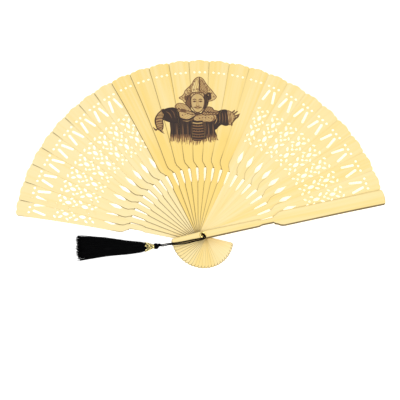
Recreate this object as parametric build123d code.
from build123d import *

import os
from math import pi, radians, tan

# Brise folding fan of sandalwood sticks, lying open on its rear guard.
# Millimetres, +Z up. The origin is on the rivet axis, at the rear guard's back face.
# In a stick's own frame +X runs from the rivet to the tip, and +Y is across the stick.

# Driving dimensions
TIP_RADIUS = 196.0
TAIL_RADIUS = 33.2
REAR_GUARD_ANGLE = 168.5
FRONT_GUARD_ANGLE = 11.9
THIN_STICKS = 24
PIERCED_PER_SIDE = 8
FIRST_STICK_TURN = 4.9
REAR_SIDE_PITCH = 6.05
MIDDLE_PITCH = 6.38
FRONT_SIDE_PITCH = 6.57
REAR_GUARD_THICKNESS = 1.4
STICK_THICKNESS = 0.5
FRONT_GUARD_THICKNESS = 3.0
STICK_GAP = 0.1

# Half widths along a stick, with the distances from the rivet at which they lie
TAIL_END_HALF = 2.8
RIVET_HALF = 4.2
RIB_SIDE = [(0, RIVET_HALF), (59.5, 3.8), (63.5, 2.75), (75.7, 2.85), (76.6, 4.4)]
STICK_SHOULDER = [(79.0, 5.3), (82.4, 7.7), (86.0, 8.4)]
SIDE_RADII = [3.0, 3.0, 0.5, 0.5, 3.0, 3.0]
LEAF_MIDDLE = 140.0
LEAF_MIDDLE_HALF = 9.1
LEAF_END = 192.3
LEAF_END_HALF = 11.4
LOBE_HALF = 5.2
LOBE_START = 194.6
SIDE_LOBE_TOP = (195.0, 8.3)

# The front guard is narrower, with straighter sides and a plain rounded tip
GUARD_SHOULDER = [(79.0, 5.2), (82.4, 7.3), (86.0, 8.1)]
GUARD_MIDDLE_HALF = 7.9
GUARD_CORNER = (194.6, 8.2)
GUARD_CORNER_RADIUS = 2.2
GUARD_EDGE_CHAMFER = 0.5

# Hollow rivet
BARREL_RADIUS = 2.0
BORE_RADIUS = 1.5
STICK_HOLE_RADIUS = 2.05
FLANGE_RADIUS = 3.5
FLANGE_THICKNESS = 0.8
WASHER_THICKNESS = 0.6
WASHER_RECESS_RADIUS = 3.6

# Openwork
THREAD_HOLE_RADIUS = 1.3
THREAD_HOLE_SPACING = 5.6
THREAD_HOLE_ROW = 182.0
SLIT_WIDTH = 2.6
SLIT_TOP = (177.0, 3.0)
SLIT_FOOT = (165.6, 5.4)
DOT_RADIUS = 1.3
DOT_PLACES = [152.6, 135.2, 118.4]
TEARDROP_FOOT = 88.8
TEARDROP_WIDEST = 94.6
TEARDROP_HALF = 2.2
TEARDROP_FOOT_BULGE = 0.9
TEARDROP_TIP = 104.4

# Leaf openings: distance from the rivet, offset from the middle line, turn, length, width
LEAF_PAIRS = [
    (155.0, 4.9, -50, 4.2, 2.1),
    (149.0, 3.9, 35, 5.6, 2.5),
    (141.6, 5.3, -40, 4.2, 2.0),
    (138.4, 2.9, 35, 4.2, 1.9),
    (132.0, 3.9, 35, 5.4, 2.5),
    (121.8, 4.3, -35, 5.0, 2.2),
    (114.8, 3.2, -40, 4.4, 2.1),
]
MIDDLE_LEAVES = [
    (144.2, 0, 0, 7.0, 3.5),
    (126.2, 0, 0, 7.6, 3.6),
]

# Cord and tassel
CORD_DIAMETER = 1.25
KNOT_CENTRE = (-44.4, -5.9, 2.2)
KNOT_RADIUS = 1.7
BALL_CENTRE = (-47.9, -7.6, 3.6)
BALL_RADIUS = 2.9
CAP_START = (-50.5, -8.0, 4.2)
CAP_AXIS = (-0.995, -0.08, 0.06)
CAP_LENGTH = 9.2
CAP_SMALL_RADIUS = 1.9
CAP_BULGE = 1.9
CAP_LARGE_RADIUS = 4.9
CAP_WALL = 0.4

STICK_STEP = STICK_THICKNESS + STICK_GAP
FIRST_STICK_BASE = REAR_GUARD_THICKNESS + STICK_GAP
FRONT_GUARD_BASE = FIRST_STICK_BASE + THIN_STICKS * STICK_STEP
STACK_TOP = FRONT_GUARD_BASE + FRONT_GUARD_THICKNESS
FLANGE_BASE = STACK_TOP + STICK_GAP
FLANGE_TOP = FLANGE_BASE + FLANGE_THICKNESS

# Hand-set route points, from the rivet's bore to the small knot
NEAR_STRAND = [
    (0.6, -0.3, 18.0),
    (0.6, -0.3, 21.0),
    (3.0, -1.9, 21.3),
    (2.0, -4.5, 20.8),
    (-2.6, -5.9, 20.0),
    (-8.5, -7.0, 19.7),
    (-14.4, -8.5, 19.7),
    (-20.4, -9.7, 19.7),
    (-26.2, -10.2, 19.8),
    (-30.9, -10.4, 20.0),
    (-35.1, -10.4, 19.4),
    (-38.0, -9.9, 15.3),
    (-40.0, -9.1, 9.9),
    (-42.0, -7.8, 5.0),
    (-44.2, -6.7, 2.1),
]
FAR_STRAND = [
    (-0.5, 0.4, 18.0),
    (-0.5, 0.4, 22.0),
    (1.5, -1.5, 22.6),
    (0.9, -3.9, 21.8),
    (-3.4, -4.5, 20.4),
    (-9.0, -5.1, 19.8),
    (-14.9, -6.3, 19.7),
    (-20.8, -7.6, 19.7),
    (-26.6, -8.6, 19.8),
    (-31.3, -9.1, 20.0),
    (-35.7, -9.2, 19.5),
    (-38.7, -8.6, 15.4),
    (-40.8, -7.7, 10.0),
    (-42.6, -6.5, 5.2),
    (-44.6, -5.5, 2.6),
]

# Tassel skirt sections: distance along -X, middle in Y, half width, middle height, half height
SKIRT_SECTIONS = [
    (53.4, -8.1, 1.5, 4.4, 1.5),
    (59.2, -8.6, 4.1, 4.7, 4.1),
    (64.0, -8.9, 5.3, 4.7, 4.4),
    (78.8, -9.1, 6.9, 4.3, 4.0),
    (102.1, -7.9, 9.4, 3.6, 3.3),
    (115.1, -8.3, 10.6, 3.2, 2.9),
    (125.0, -9.0, 11.7, 2.9, 2.6),
    (128.4, -9.2, 12.2, 2.7, 2.4),
]


def edge_pair(edge):
    """An edge on the +Y side and its mirror image."""
    return Curve() + [edge, mirror(edge, about=Plane.XZ)]


def root_edges(shoulder):
    """Tail, rib, narrow neck and shoulder, up to the leaf."""
    tail_corner = (-TAIL_RADIUS + TAIL_END_HALF, TAIL_END_HALF)
    tail_end = ThreePointArc(
        (tail_corner[0], -tail_corner[1]), (-TAIL_RADIUS, 0), tail_corner
    )
    tail_side = Line(tail_corner, (0, RIVET_HALF))
    rib_side = FilletPolyline(*RIB_SIDE, *shoulder, radius=SIDE_RADII)
    return edge_pair(tail_side) + edge_pair(rib_side) + tail_end


def leaf_side(start, middle_half, end):
    """Gently hollow side of a leaf, on both sides."""
    return edge_pair(ThreePointArc(start, (LEAF_MIDDLE, middle_half), end))


def tip_arc(corner):
    """Arc across the tip between two mirrored corners."""
    return ThreePointArc(corner, (TIP_RADIUS, 0), (corner[0], -corner[1]))


def stick_outline():
    """Flared leaf with a three-lobed tip."""
    leaf_end, lobe_start = (LEAF_END, LEAF_END_HALF), (LOBE_START, LOBE_HALF)
    edges = root_edges(STICK_SHOULDER)
    edges += leaf_side(STICK_SHOULDER[-1], LEAF_MIDDLE_HALF, leaf_end)
    edges += edge_pair(ThreePointArc(leaf_end, SIDE_LOBE_TOP, lobe_start))
    return make_face(edges + tip_arc(lobe_start))


def guard_outline():
    """Nearly parallel leaf with a plain rounded tip."""
    edges = root_edges(GUARD_SHOULDER)
    edges += leaf_side(GUARD_SHOULDER[-1], GUARD_MIDDLE_HALF, GUARD_CORNER)
    outline = make_face(edges + tip_arc(GUARD_CORNER))
    tip_corners = outline.vertices().sort_by(Axis.X)[-2:]
    return fillet(tip_corners, GUARD_CORNER_RADIUS)


def thread_holes():
    """Row of three round holes near the tip, for the linking thread."""
    places = [Pos(THREAD_HOLE_ROW, n * THREAD_HOLE_SPACING) for n in (-1, 0, 1)]
    return Sketch() + [place * Circle(THREAD_HOLE_RADIUS) for place in places]


def leaf_opening(x, y, angle, length, width):
    """Pointed leaf made of two arcs."""
    left, right = (-length / 2, 0), (length / 2, 0)
    upper = ThreePointArc(left, (0, width / 2), right)
    lower = ThreePointArc(right, (0, -width / 2), left)
    return Pos(x, y) * Rot(0, 0, angle) * make_face(Curve() + [upper, lower])


def leaf_pair(x, y, angle, length, width):
    """A leaf opening on each side of the stick's middle line."""
    return [leaf_opening(x, side * y, side * angle, length, width) for side in (1, -1)]


def slit_pair():
    """Two round-ended slits that spread apart towards the rivet."""
    run = Vector(SLIT_TOP[0] - SLIT_FOOT[0], SLIT_FOOT[1] - SLIT_TOP[1])
    middle_x = (SLIT_TOP[0] + SLIT_FOOT[0]) / 2
    middle_y = (SLIT_TOP[1] + SLIT_FOOT[1]) / 2
    turn = Vector(1, 0).get_angle(run)
    slot = SlotCenterToCenter(run.length, SLIT_WIDTH)
    return [
        Pos(middle_x, side * middle_y) * Rot(0, 0, -side * turn) * slot
        for side in (1, -1)
    ]


def teardrop():
    """Drop with its round end towards the rivet."""
    side = ThreePointArc(
        (TEARDROP_FOOT, 0),
        (TEARDROP_WIDEST - TEARDROP_HALF / 2, TEARDROP_HALF * TEARDROP_FOOT_BULGE),
        (TEARDROP_WIDEST + TEARDROP_HALF / 2, TEARDROP_HALF),
    )
    point = Line(side @ 1, (TEARDROP_TIP, 0))
    return make_face(edge_pair(side) + edge_pair(point))


def openwork():
    """Every opening of a pierced stick but the thread holes."""
    shapes = slit_pair() + [teardrop()]
    shapes += [Pos(x, 0) * Circle(DOT_RADIUS) for x in DOT_PLACES]
    shapes += [leaf_opening(*leaf) for leaf in MIDDLE_LEAVES]
    for leaf in LEAF_PAIRS:
        shapes += leaf_pair(*leaf)
    return Sketch() + shapes


def stick(outline, openings, thickness, base, angle):
    """A stick cut from its sheet, placed in the stack and turned to its angle."""
    rivet_hole = Circle(STICK_HOLE_RADIUS)
    plate = extrude(outline - openings - rivet_hole, thickness)
    return Rot(0, 0, angle) * Pos(0, 0, base) * plate


def rear_guard():
    """Pierced guard that the fan lies on, recessed for the rivet's washer."""
    openings = thread_holes() + openwork()
    guard = stick(stick_outline(), openings, REAR_GUARD_THICKNESS, 0, REAR_GUARD_ANGLE)
    recess = extrude(Circle(WASHER_RECESS_RADIUS), WASHER_THICKNESS)
    return guard - recess


def front_guard():
    """Solid guard on top of the stack, with its upper edges eased."""
    blank = extrude(guard_outline(), FRONT_GUARD_THICKNESS)
    rim = blank.faces().sort_by(Axis.Z)[-1].edges()
    blank = chamfer(rim, GUARD_EDGE_CHAMFER)
    blank -= extrude(Circle(STICK_HOLE_RADIUS), FRONT_GUARD_THICKNESS)
    return Rot(0, 0, FRONT_GUARD_ANGLE) * Pos(0, 0, FRONT_GUARD_BASE) * blank


def stick_turns():
    """Turn of each thin stick away from the rear guard."""
    front_side_start = THIN_STICKS - PIERCED_PER_SIDE
    turns = [FIRST_STICK_TURN]
    for n in range(1, THIN_STICKS):
        if n < PIERCED_PER_SIDE:
            pitch = REAR_SIDE_PITCH
        elif n <= front_side_start:
            pitch = MIDDLE_PITCH
        else:
            pitch = FRONT_SIDE_PITCH
        turns.append(turns[-1] + pitch)
    return turns


def thin_sticks():
    """The 24 sticks between the guards: pierced, then plain, then pierced."""
    plain = stick_outline()
    holes = thread_holes()
    pierced = holes + openwork()
    sticks = {}
    for n, turn in enumerate(stick_turns(), 1):
        is_pierced = n <= PIERCED_PER_SIDE or n > THIN_STICKS - PIERCED_PER_SIDE
        openings = pierced if is_pierced else holes
        kind = "pierced" if is_pierced else "plain"
        base = FIRST_STICK_BASE + (n - 1) * STICK_STEP
        name = f"{kind}_stick_{n:02d}"
        angle = REAR_GUARD_ANGLE - turn
        sticks[name] = stick(plain, openings, STICK_THICKNESS, base, angle)
    return sticks


def ring(outer, inner, base, top):
    """Flat-ended ring about the rivet axis."""
    return Pos(0, 0, base) * extrude(Circle(outer) - Circle(inner), top - base)


def rivet_barrel():
    """Hollow barrel with a rolled flange on the front."""
    barrel = ring(BARREL_RADIUS, BORE_RADIUS, 0, FLANGE_BASE)
    inner, outer = (BORE_RADIUS, FLANGE_BASE), (FLANGE_RADIUS, FLANGE_BASE)
    crown = ((BORE_RADIUS + FLANGE_RADIUS) / 2, FLANGE_TOP)
    profile = Curve() + [Line(inner, outer), ThreePointArc(outer, crown, inner)]
    flange = revolve(Plane.XZ * make_face(profile), Axis.Z)
    return barrel + flange


def rivet_washer():
    """Flat washer sunk into the rear guard."""
    return ring(FLANGE_RADIUS, BARREL_RADIUS, 0, WASHER_THICKNESS)


def turn_radii(points):
    """Bend radius at each inner point: 0.45 of the shorter run over tan(half the turn)."""
    radii = []
    for before, here, after in zip(points, points[1:], points[2:]):
        first, second = Vector(*here) - Vector(*before), Vector(*after) - Vector(*here)
        half_turn = radians(first.get_angle(second)) / 2
        radii.append(0.45 * min(first.length, second.length) / tan(half_turn))
    return radii


def cord(name, points):
    """Round cord along straight runs joined by tangent arcs."""
    radii = turn_radii(points)
    path = FilletPolyline(*points, radius=radii)
    section = Plane(origin=path @ 0, z_dir=path % 0) * Circle(CORD_DIAMETER / 2)
    tube = sweep(section, path=path)
    wanted = pi * (CORD_DIAMETER / 2) ** 2 * path.length
    print(name, "length", round(path.length, 1), "radii", [round(r, 1) for r in radii])
    print(name, "volume", round(tube.volume, 2), "section times length", round(wanted, 2))
    return tube


def tassel_cap():
    """Flared bell that gathers the tassel's strands."""
    outer_bulge = (CAP_SMALL_RADIUS + CAP_BULGE, CAP_LENGTH / 2)
    inner_bulge = (outer_bulge[0] - CAP_WALL, outer_bulge[1])
    outer = ThreePointArc(
        (CAP_SMALL_RADIUS, 0), outer_bulge, (CAP_LARGE_RADIUS, CAP_LENGTH)
    )
    inner = ThreePointArc(
        (CAP_SMALL_RADIUS - CAP_WALL, 0),
        inner_bulge,
        (CAP_LARGE_RADIUS - CAP_WALL, CAP_LENGTH),
    )
    small_end, large_end = Line(outer @ 0, inner @ 0), Line(outer @ 1, inner @ 1)
    profile = make_face(Curve() + [outer, inner, small_end, large_end])
    bell = revolve(Plane.XZ * profile, Axis.Z)
    return Plane(origin=CAP_START, z_dir=CAP_AXIS) * bell


def tassel_skirt():
    """Bundle of strands, flattened where it lies and spreading to its cut end."""
    sections = []
    for along, middle, half_width, height, half_height in SKIRT_SECTIONS:
        plane = Plane(origin=(-along, middle, height), x_dir=(0, 1, 0), z_dir=(-1, 0, 0))
        sections.append(plane * Ellipse(half_width, half_height))
    return loft(sections, ruled=True)


def all_parts():
    """Every node's name and solid."""
    parts = {"rear_guard": rear_guard()}
    parts.update(thin_sticks())
    parts["front_guard"] = front_guard()
    parts["rivet_barrel"] = rivet_barrel()
    parts["rivet_washer"] = rivet_washer()
    parts["cord_near_strand"] = cord("cord_near_strand", NEAR_STRAND)
    parts["cord_far_strand"] = cord("cord_far_strand", FAR_STRAND)
    parts["cord_knot"] = Pos(*KNOT_CENTRE) * Sphere(KNOT_RADIUS)
    parts["ball_knot"] = Pos(*BALL_CENTRE) * Sphere(BALL_RADIUS)
    parts["tassel_cap"] = tassel_cap()
    parts["tassel_skirt"] = tassel_skirt()
    return parts


os.makedirs("parts", exist_ok=True)
for node, solid in all_parts().items():
    export_step(solid, f"parts/{node}.step")
